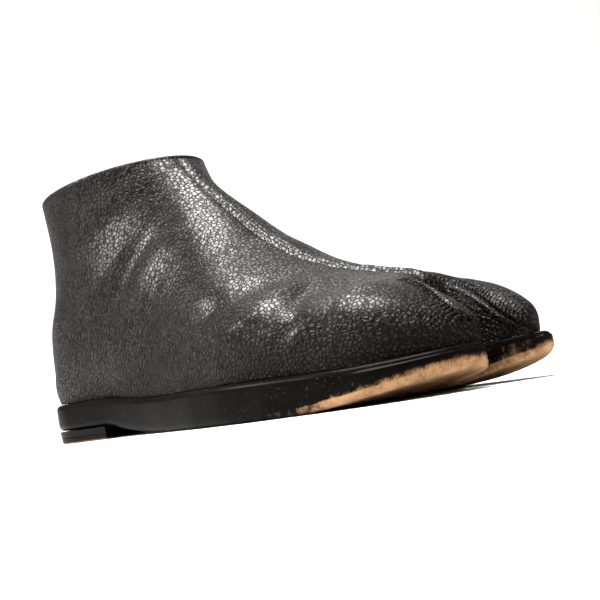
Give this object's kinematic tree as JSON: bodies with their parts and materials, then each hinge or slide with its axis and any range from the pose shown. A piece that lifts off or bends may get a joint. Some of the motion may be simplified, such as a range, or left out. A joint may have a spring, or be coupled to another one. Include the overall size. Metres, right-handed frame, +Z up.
{
  "type": "split-toe jika tabi boot",
  "caption": "Low ankle boot in black leather with a split toe, leather outsole, low heel lift and footbed, open at the collar.",
  "frame": {"origin": "middle of the heel's tread on the floor", "axes": "+X to the toes, +Y to the inner side of the foot, +Z up"},
  "size_m": [0.2799, 0.1036, 0.1229],
  "materials": {
    "upper_leather": "pebbled, semi-gloss",
    "sole_leather": "painted satin edge, bare tan underside",
    "heel_leather": "painted satin edge",
    "lining_leather": "smooth matt"
  },
  "bodies": {
    "root": {"upper": "upper_leather", "outsole": "sole_leather", "heel": "heel_leather", "insole": "lining_leather"}
  },
  "joints": []
}
